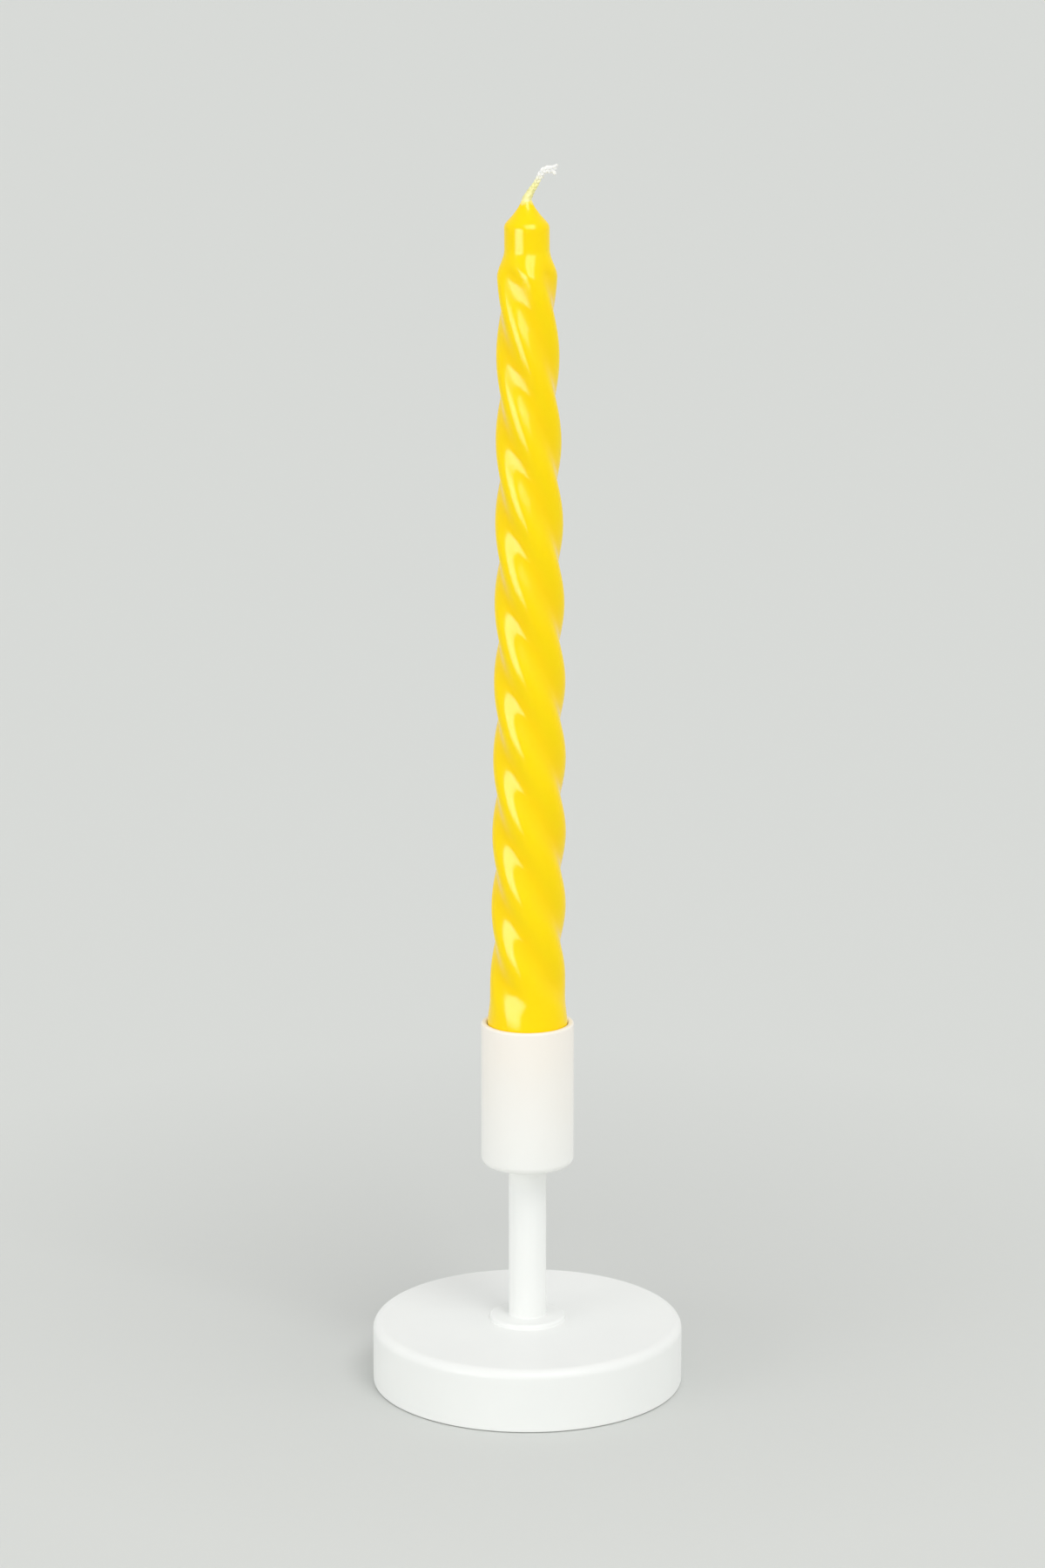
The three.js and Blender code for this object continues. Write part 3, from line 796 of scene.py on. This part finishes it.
def wax_rings(heights, inset, around=COAT_AROUND, least=0.0):
    """Rings of the wax at the given heights, inset from its outside but never under least."""
    angles = np.arange(around)[None, :] * TURN / around
    tall = heights[:, None] * np.ones_like(angles)
    outside = section_radius(tall, angles) + ripples(tall, angles)
    radius = np.maximum(outside - np.atleast_1d(inset)[:, None], least)
    rings = round_axis(radius, angles + twist(tall), wax_bottom + tall)
    rings[..., 0] += bow(tall)
    return rings


def groove_shade_share(heights, around=COAT_AROUND):
    """1 down the middle of a groove and 0 on a crown, for each point of a ring."""
    spacing = TURN / STRANDS
    angles = np.arange(around) * TURN / around
    near = np.abs(angles - spacing * np.round(angles / spacing))
    return ease(near, 0.12 * spacing, 0.5 * spacing)[None, :] * relief(heights)[:, None]


def coat_heights():
    """Heights of the rings, closer together at the butt's edge, the neck and the cone."""
    parts = [
        np.array([0.0, 0.1, 0.35, 1.0]),
        np.arange(2, twist_end - RUN_OUT, ROW),
        np.arange(twist_end - RUN_OUT, neck_end, FINE_ROW),
        np.linspace(neck_end, shoulder_top, 9),
        np.linspace(shoulder_top, WAX_LENGTH - 0.2, 20)[1:],
    ]
    return np.concatenate(parts)


def candle_coat():
    heights = coat_heights()
    outside = wax_rings(heights, BUTT_ROUND * (1 - ease(heights, -0.3, 0.5)))
    tip = wax_rings(np.array([WAX_LENGTH, WAX_LENGTH]), np.array(TIP_INSETS))
    inner_cone = np.linspace(WAX_LENGTH - 0.4, shoulder_top, 12)
    inner_wall = np.arange(shoulder_top - 1, 0, -INNER_ROW)
    inner_heights = np.concatenate([inner_cone, inner_wall, [0.0]])
    inside = wax_rings(inner_heights, np.array([COAT_WALL]), least=WICK_HOLE)
    obj = skin("yellow_coat", np.concatenate([outside, tip, inside]), looped=True)
    rows = np.concatenate([heights, [WAX_LENGTH, WAX_LENGTH], inner_heights])
    # Marks the grooves, where the wax colour gets its painted shade.
    mark(obj, "groove", groove_shade_share(rows).ravel())
    return obj


coat = candle_coat()

# %% [markdown]
# ## Yellow wax
#
# Dyed wax is a glossy, slightly cloudy body: light goes in, spreads and comes out more orange
# where it has bounced about in a groove. That orange is painted into the colour as painted
# shade down each groove, over a random cloudy tone. A little subsurface scattering gives the
# soft depth, the base colour is a strong warm yellow with no blue in it, and the gloss is crisp
# but broken by a faint ripple, because the dipped skin set in air.

# %% Mix the yellow wax
WAX_YELLOW = (1.0, 0.718, 0.0, 1)
# The deeper orange: random cloudy tone, and painted shade down the grooves.
WAX_DEEP_AND_GROOVE_SHADE = (1.0, 0.64, 0.0, 1)
WAX_TIP = (0.98, 0.88, 0.40, 1)  # thin over the cone's tip, where the pale wax shows
THIN_FROM = -1.3  # heights between which it thins, in mm from the top of the wax
THIN_TO = 0.1
THIN_WANDER = 2.2


def yellow_wax():
    wax = Finish("yellow_wax")
    place = place_of(wax)
    cloud = wax.speckle(place, 9, detail=3).between(0.35, 0.7)
    drift = wax.speckle(place, 3.2, detail=2)
    pores = wax.speckle(place, 0.25, detail=1)
    groove = wax.add("Attribute", {"attribute_name": "groove"}, output="Fac")
    # Share of the deeper orange: random cloudy tone, and painted shade along each groove.
    depth = 0.25 * cloud + 0.45 * groove
    patchy = wax.speckle(place, 0.5, detail=2)
    height = place.part(2) + (patchy - 0.5) * (THIN_WANDER * MM)
    tip = height.between((wax_top + THIN_FROM) * MM, (wax_top + THIN_TO) * MM)
    return wax.surface(
        Base_Color=wax.blend(tip, wax.blend(depth, WAX_YELLOW, WAX_DEEP_AND_GROOVE_SHADE), WAX_TIP),
        Roughness=0.14 + 0.03 * drift + 0.02 * pores,
        IOR=1.44,
        Specular_IOR_Level=0.21,
        Subsurface_Weight=0.12,
        Subsurface_Radius=(1.0, 0.5, 0.1),
        Subsurface_Scale=0.0005,
        Normal=wax.relief(drift + 0.03 * pores, 0.012),
    )


dress(coat, "candle", "yellow_wax", yellow_wax(), "candle_coat")

# %% [markdown]
# ## The core
#
# Inside the coat is the bar of pale wax that was twisted. It shows only from below, once the
# candle is lifted out. It is the same table of rings, further in, with a bore for the wick.

# %% Press the core
BOND_GAP = 0.3
BORE = 1.1
CORE_AROUND = 72
CORE_ROW = 2.0
CORE_DEEP = (0.86, 0.81, 0.66, 1)
CORE_PALE = (0.93, 0.89, 0.77, 1)


def candle_core():
    core_top = (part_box("candle_core")[1].z / MM) - wax_bottom
    heights = np.concatenate([[0.0, 0.15], np.arange(1, core_top, CORE_ROW), [core_top]])
    outside = wax_rings(heights, np.array([COAT_WALL + BOND_GAP]), around=CORE_AROUND)
    past_axis = np.array([2 * BUTT_RADIUS])  # so only the least radius is left, which is the bore
    inside = wax_rings(heights[::-1], past_axis, around=CORE_AROUND, least=BORE)
    return skin("pale_core", np.concatenate([outside, inside]), looped=True)


def pale_wax():
    wax = Finish("pale_wax")
    place = place_of(wax)
    crystals = wax.speckle(place, 0.8, detail=5, rough=0.7).between(0.35, 0.65)
    return wax.surface(
        Base_Color=wax.blend(crystals, CORE_DEEP, CORE_PALE),
        Roughness=0.45 + 0.15 * crystals,
        Subsurface_Weight=0.3,
        Subsurface_Radius=(1.0, 0.7, 0.4),
        Subsurface_Scale=0.002,
        Normal=wax.relief(crystals, 0.03),
    )


dress(candle_core(), "candle", "pale_wax", pale_wax(), "candle_core")

# %% [markdown]
# ## The wick
#
# A candle wick is a flat plait of three cotton yarns. It could be one tube with a bump, but the
# plait shows against the plain background, so each yarn is its own tube: it swings from side
# to side once each pitch and over and under twice. Wax has soaked up its foot, stiffening and
# yellowing it. Past the bend it is dry and white, and its cut end has come undone.

# %% Route of the wick
WICK_DIAMETER = 1.6
PLAIT_PITCH = 3.4
WICK_ROUTE = np.array([  # x, y, height over the wax, share of the diameter
    (0, 0, -4.5, 1),
    (0, 0, -1.5, 1),
    (0.1, 0, 0.3, 1.15),
    (0.5, 0, 1.1, 1.35),
    (1.35, -0.1, 2.6, 1.15),
    (2.3, -0.2, 4, 1),
    (3.15, -0.35, 5.6, 0.95),
    (3.8, -0.45, 6.9, 1),
    (4.6, -0.55, 7.8, 1.15),
    (5.6, -0.6, 8.05, 1.25),
    (6.7, -0.65, 8.1, 1.25),
])


def curve(points, places):
    """Points on a Catmull-Rom curve: at place 2.5 it is half way from point 2 to point 3."""
    index = np.clip(places.astype(int), 0, len(points) - 2)
    share = (places - index)[:, None]
    padded = np.concatenate([2 * points[:1] - points[1:2], points, 2 * points[-1:] - points[-2:-1]])
    before, here, after, beyond = (padded[index + step] for step in range(4))
    slope_in = (after - before) / 2
    slope_out = (beyond - here) / 2
    return (
        here * (2 * share**3 - 3 * share**2 + 1)
        + after * (3 * share**2 - 2 * share**3)
        + slope_in * (share**3 - 2 * share**2 + share)
        + slope_out * (share**3 - share**2)
    )


def along(points, spacing):
    """Points every spacing mm along the curve through points, with the length so far."""
    fine = curve(points, np.linspace(0, len(points) - 1, 400 * len(points)))
    steps = np.linalg.norm(np.diff(fine[:, :3], axis=0), axis=1)
    length = np.concatenate([[0], np.cumsum(steps)])
    wanted = np.linspace(0, length[-1], max(3, int(length[-1] / spacing)))
    return np.stack([np.interp(wanted, length, column) for column in fine.T], axis=-1), wanted


def across(path):
    """Two unit vectors square to a path at each point: one level with Y, and one square to it."""
    ahead = np.gradient(path, axis=0)
    ahead /= np.linalg.norm(ahead, axis=1)[:, None]
    side = np.cross([0, 1, 0], ahead)
    side /= np.linalg.norm(side, axis=1)[:, None]
    return side, np.cross(ahead, side)


def tube(path, radius, around):
    """Rings round a path: centre + r (cos a side + sin a up)."""
    side, up = across(path)
    angles = (np.arange(around) * TURN / around)[None, :, None]
    radius = np.broadcast_to(radius, len(path))[:, None, None]
    return path[:, None, :] + radius * (np.cos(angles) * side[:, None, :] + np.sin(angles) * up[:, None, :])


# %% Plait the yarns
YARN_SWING = 0.27  # shares of the wick's diameter
YARN_LIFT = 0.15
YARN_RADIUS = 0.27
WICK_STEP = 0.3  # length between two rings of a yarn, in mm


def wick_line():
    """Places along the wick: up through the candle on its axis, and then the route over the wax."""
    bent, _ = along(WICK_ROUTE, WICK_STEP)
    depths = np.arange(-WAX_LENGTH, WICK_ROUTE[0, 2] - WICK_STEP / 2, WICK_STEP)[:, None]
    buried = depths * [0, 0, 1, 0] + [0, 0, 0, 1]
    path = np.concatenate([buried, bent])
    path[:, 0] += bow(np.minimum(path[:, 2] + WAX_LENGTH, WAX_LENGTH))
    path[:, 2] += wax_top
    return path


wick_path = wick_line()
wick_length = np.concatenate([[0], np.cumsum(np.linalg.norm(np.diff(wick_path[:, :3], axis=0), axis=1))])


def yarns():
    """Three tubes. Yarn k is off the path by cos(f) one way and sin(2f) the other, f = s/pitch + k/3."""
    side, up = across(wick_path[:, :3])
    thick = (wick_path[:, 3] * WICK_DIAMETER)[:, None]
    for yarn in range(3):
        phase = (TURN * (wick_length / PLAIT_PITCH + yarn / 3))[:, None]
        swing = thick * (YARN_SWING * np.cos(phase) * side + YARN_LIFT * np.sin(2 * phase) * up)
        yield tube(wick_path[:, :3] + swing, thick[:, 0] * YARN_RADIUS, around=12)


# %% Fray the end
LOCK_RADIUS = 0.72
SKIN_FOOT = 1.32  # radius of the wax that has crept up the wick, at the tip of the cone
SKIN_TOP = 0.72  # and where it ends
SKIN_BOTTOM = -0.6  # heights over the wax
SKIN_HEIGHT = 3.4
SKIN_AROUND = 24
LUMP = 0.05  # unevenness of that wax
SOAKED_FROM = 4.2  # heights over the wax between which the wick dries out
SOAKED_TO = 7.8
SOAKED_LEAN = 0.2  # it also dries out sideways, at this share
TUFTS = (
    ((5.8, -0.6, 8.1), (6.7, -0.7, 8.4), (7.4, -0.85, 8.8), (8.1, -0.95, 9.2)),
    ((5.8, -0.62, 8.0), (6.7, -0.75, 7.8), (7.2, -0.85, 7.35), (7.55, -0.9, 6.8)),
    ((5.6, -0.6, 8.05), (6.5, -0.7, 8.15), (7.2, -0.75, 8.25), (7.85, -0.8, 8.3)),
    ((3.2, -0.4, 6.5), (3.8, -0.3, 6.8), (4.2, -0.1, 6.4), (4.5, 0.05, 5.8)),
)
TUFT_FIBRES = (60, 60, 50, 14)
TUFT_SPREAD = (0.22, 0.22, 0.22, 0.16)
FIBRE_RADIUS = 0.12
FIBRE_STEP = 0.28
FIBRE_WANDER = (0, 0.3, 0.7, 1)  # share of its wander that a fibre has taken at each point
FIBRE_FREEDOM = (0.45, 0.8, 0.5)  # how freely it wanders along x, y and z
FIBRE_CEILING = 9.35  # height over the wax that no fibre passes
chance = np.random.default_rng(11)
tip_place = (float(bow(np.array([WAX_LENGTH]))[0]), 0, wax_top)


def fibres():
    """Fine tubes along the tufts. Each starts inside the tuft and wanders out towards its tip."""
    for points, count, spread in zip(TUFTS, TUFT_FIBRES, TUFT_SPREAD):
        for _ in range(count):
            wander = chance.normal(0, spread, 3)
            start = chance.normal(0, 0.3 * spread, 3)
            path = np.array(points) + np.outer(FIBRE_WANDER, wander * FIBRE_FREEDOM) + start
            path[:, 2] = np.minimum(path[:, 2], FIBRE_CEILING)
            path += tip_place
            path = path[: chance.integers(3, 5)]
            smooth, length = along(path, FIBRE_STEP)
            thin = FIBRE_RADIUS * (1 - 0.6 * length / length[-1])
            yield tube(smooth, thin, around=5)


def locks():
    """Solid middles of the tufts: a tube along each, thinner towards its end."""
    for points in TUFTS[:3]:
        smooth, length = along(np.array(points), FIBRE_STEP)
        yield tube(smooth + tip_place, LOCK_RADIUS * (1 - 0.4 * length / length[-1]), around=12)


def crept_wax():
    """A lumpy skin of wax up the foot of the wick, thick at the tip of the cone and thin above."""
    above = wick_path[:, 2] - wax_top
    foot = wick_path[(above > SKIN_BOTTOM) & (above < SKIN_HEIGHT), :3]
    rise = (foot[:, 2] - wax_top)[:, None]
    angles = np.arange(SKIN_AROUND)[None, :] * TURN / SKIN_AROUND
    radius = SKIN_TOP + (SKIN_FOOT - SKIN_TOP) * (1 - ease(rise, -0.4, SKIN_HEIGHT))
    lumps = np.sin(3 * angles + 2.1 * rise) + np.sin(5 * angles - 3.7 * rise + 1)
    lumps = lumps + np.sin(2 * angles + 5.3 * rise)
    side, up = across(foot)
    around = np.cos(angles)[..., None] * side[:, None, :] + np.sin(angles)[..., None] * up[:, None, :]
    return foot[:, None, :] + (radius + LUMP * lumps)[..., None] * around


def wick():
    plait = [*yarns(), *locks()]
    loose = list(fibres())
    obj = skin("cotton_wick", *plait, crept_wax(), *loose, crease=70)
    places = np.empty(3 * len(obj.data.vertices))
    obj.data.vertices.foreach_get("co", places)
    reach, _, height = places.reshape(-1, 3).T / MM
    dried = ease(height - wax_top + SOAKED_LEAN * reach, SOAKED_FROM, SOAKED_TO)
    mark(obj, "soaked", 1 - dried)
    mark(obj, "plied", np.arange(len(height)) < sum(yarn[..., 0].size + 2 for yarn in plait))
    print("the wick is", round(float(wick_length[-1])), "mm long, with", len(loose), "loose fibres")
    return obj


# %% [markdown]
# ## Cotton
#
# The yarns are bleached cotton with a twist of their own, so fine lines run slantwise round
# each tube. The UV map carries them, because it follows the yarn. In the hollows of the twist,
# where the bump is low, the colour is painted darker as painted shade, mixed with a random tone
# of hairs. Where wax has soaked in, the cotton turns a translucent pale yellow and takes a low
# gloss.

# %% Spin the cotton
COTTON_WHITE = (0.95, 0.942, 0.905, 1)
COTTON_SHADE = (0.89, 0.88, 0.83, 1)
COTTON_SOAKED = (0.86, 0.80, 0.24, 1)
YARN_LINES = 6.0  # lines round a yarn
YARN_SLANT = 2.2  # turns that a line makes in a millimetre


def waxed_cotton():
    cotton = Finish("waxed_cotton")
    lie = cotton.add("UVMap", {"uv_map": "along"})
    ply = (lie.part(0) * YARN_LINES + lie.part(1) * YARN_SLANT) * TURN
    lines = 0.5 + 0.5 * ply.math("SINE", ply)
    hair = cotton.speckle(place_of(cotton), 0.08, detail=2)
    wet = cotton.add("Attribute", {"attribute_name": "soaked"}, output="Fac")
    plied = cotton.add("Attribute", {"attribute_name": "plied"}, output="Fac")
    # Darker in the hollows of the twist: painted shade, with random hair tone.
    dry = cotton.blend(0.6 * lines + 0.4 * hair, COTTON_SHADE, COTTON_WHITE)
    return cotton.surface(
        Base_Color=cotton.blend(wet * 0.85, dry, COTTON_SOAKED),
        Roughness=0.92 - 0.4 * wet,
        Subsurface_Weight=0.2,
        Subsurface_Radius=(1.0, 0.9, 0.7),
        Subsurface_Scale=0.0005,
        Sheen_Weight=0.2,
        Normal=cotton.relief(plied * (lines * (1 - 0.6 * wet) + 0.4 * hair), 0.04),
    )


dress(wick(), "candle", "wick_cotton", waxed_cotton(), "wick")

# %% [markdown]
# ## The stage
#
# The object stands on a pale floor that runs on behind it without a seam. Round the base, and
# most behind it, the floor is painted darker: painted shade where the object keeps light off it.
# The world is the same pale grey to the camera and in reflections, so the floor has no visible
# end and gloss mirrors the same grey. As light on the object, the world is plain white.

# %% Floor and world
PALE_GREY = (0.695, 0.71, 0.69, 1)
FLOOR_FAR = (0.685, 0.701, 0.679, 1)
FLOOR_PAINTED_SHADE = (0.618, 0.632, 0.614, 1)
PAINTED_SHADE_SPOT = (0, 0.10, 0)  # middle of the painted shade on the floor, a little behind the base
SPOT_FROM = 0.04  # distances from there over which the painted shade fades out, in metres
SPOT_TO = 0.24
FLOOR_SIZE = 60.0
WORLD_LIGHT = 0.755


def floor():
    half = FLOOR_SIZE / 2
    mesh = bpy.data.meshes.new("floor")
    corners = [(-half, -half, 0), (half, -half, 0), (half, half, 0), (-half, half, 0)]
    mesh.from_pydata(corners, [], [(0, 1, 2, 3)])
    obj = put("floor", mesh)
    paper = Finish("pale_paper")
    place = place_of(paper)
    # Darker near a spot behind the base: painted shade on the floor.
    apart = paper.add("VectorMath", {"operation": "DISTANCE"}, {0: place, 1: PAINTED_SHADE_SPOT}, output="Value")
    far = apart.between(SPOT_FROM, SPOT_TO)
    paper_with_painted_shade = paper.blend(far + 0.1 * paper.speckle(place, 1.5, detail=2), FLOOR_PAINTED_SHADE, FLOOR_FAR)
    mesh.materials.append(paper.surface(Base_Color=paper_with_painted_shade, Roughness=0.9, Specular_IOR_Level=0.1))
    obj.visible_glossy = False


def world():
    ambient = bpy.data.worlds.new("studio")
    bpy.context.scene.world = ambient
    sky = Finish("studio", owner=ambient)
    rays = sky.add("LightPath")
    kinds = ("Is Camera Ray", "Is Glossy Ray", "Is Transmission Ray")
    seen, mirrored, through = (Wire(sky, rays.socket.node.outputs[kind]) for kind in kinds)
    shown = sky.add("Background", {}, {"Color": PALE_GREY, "Strength": 1.0})
    light = sky.add("Background", {}, {"Color": (1, 1, 1, 1), "Strength": WORLD_LIGHT})
    both = sky.add("MixShader", {}, {0: (seen + mirrored + through).between(0, 1), 1: light, 2: shown})
    sky.add("OutputWorld", {}, {"Surface": both})


floor()
world()

# %% [markdown]
# ## Light
#
# Two soft boxes stand in front of the object, one low on the left and one high on the right.
# They show only in the gloss, where they make the long hooked highlights on the wax. The
# shading comes from the world and from four far lamps, which light the whole floor evenly.

# %% Soft boxes
LAMP_AIM = 0.2  # height that the soft boxes face, in metres
LAMP_DISTANCE = 0.9


def softbox(name, sides, heights, brightness):
    """An area lamp that fills a window of the sky, from one angle to another in degrees.

    Angles run right from straight in front and up from the horizon, seen from a point on the
    axis at height LAMP_AIM. Brightness is what its face would render as.
    """
    azimuth = math.radians(sum(sides) / 2)
    elevation = math.radians(sum(heights) / 2)
    span = 2 * LAMP_DISTANCE * math.tan(math.radians(sides[1] - sides[0]) / 2)
    width = span * math.cos(elevation)
    height = 2 * LAMP_DISTANCE * math.tan(math.radians(heights[1] - heights[0]) / 2)
    lamp = bpy.data.lights.new(name, "AREA")
    lamp.shape = "RECTANGLE"
    lamp.size = width
    lamp.size_y = height
    lamp.energy = brightness * math.pi * width * height
    obj = put(name, lamp)
    away = LAMP_DISTANCE * math.cos(elevation)
    rise = LAMP_DISTANCE * math.sin(elevation)
    obj.location = (away * math.sin(azimuth), -away * math.cos(azimuth), LAMP_AIM + rise)
    obj.rotation_euler = (TURN / 4 - elevation, 0, azimuth)
    obj.visible_camera = False
    obj.visible_diffuse = False


softbox("left_gleam", sides=(-60, -20), heights=(-16.8, 17.0), brightness=12.0)
softbox("right_gleam", sides=(-6, 49), heights=(17, 66), brightness=9.0)


# %% Far lamps
def sun(name, azimuth, elevation, spread, strength):
    """A far soft lamp, for shading and shadows that are the same all over the floor."""
    lamp = bpy.data.lights.new(name, "SUN")
    lamp.energy = strength
    lamp.angle = math.radians(spread)
    obj = put(name, lamp)
    obj.rotation_euler = (TURN / 4 - math.radians(elevation), 0, math.radians(azimuth))
    obj.visible_glossy = False


sun("high_light", azimuth=32, elevation=55, spread=24, strength=0.66)
sun("left_light", azimuth=-54, elevation=6, spread=40, strength=0.93)
sun("right_light", azimuth=62, elevation=7, spread=45, strength=0.48)
sun("front_light", azimuth=5, elevation=10, spread=40, strength=0.2)

# %% [markdown]
# ## The camera
#
# The camera was found from the photograph by fitting the outline of the holder and the candle.
# It looks slightly down with a long lens.

# %% Camera
CAMERA_PLACE = (-1.371 * MM, -1151.5 * MM, 432.5 * MM)
CAMERA_DOWN = 0.224  # radians below the horizon
LENS_LENGTH = 100  # in mm, as is the sensor
SENSOR_WIDTH = 36


def camera():
    lens = bpy.data.cameras.new("camera")
    lens.lens = LENS_LENGTH
    lens.sensor_width = SENSOR_WIDTH
    obj = put("camera", lens)
    obj.location = CAMERA_PLACE
    obj.rotation_euler = (TURN / 4 - CAMERA_DOWN, 0, 0)
    bpy.context.scene.camera = obj


camera()
bpy.context.scene.view_settings.view_transform = "Standard"
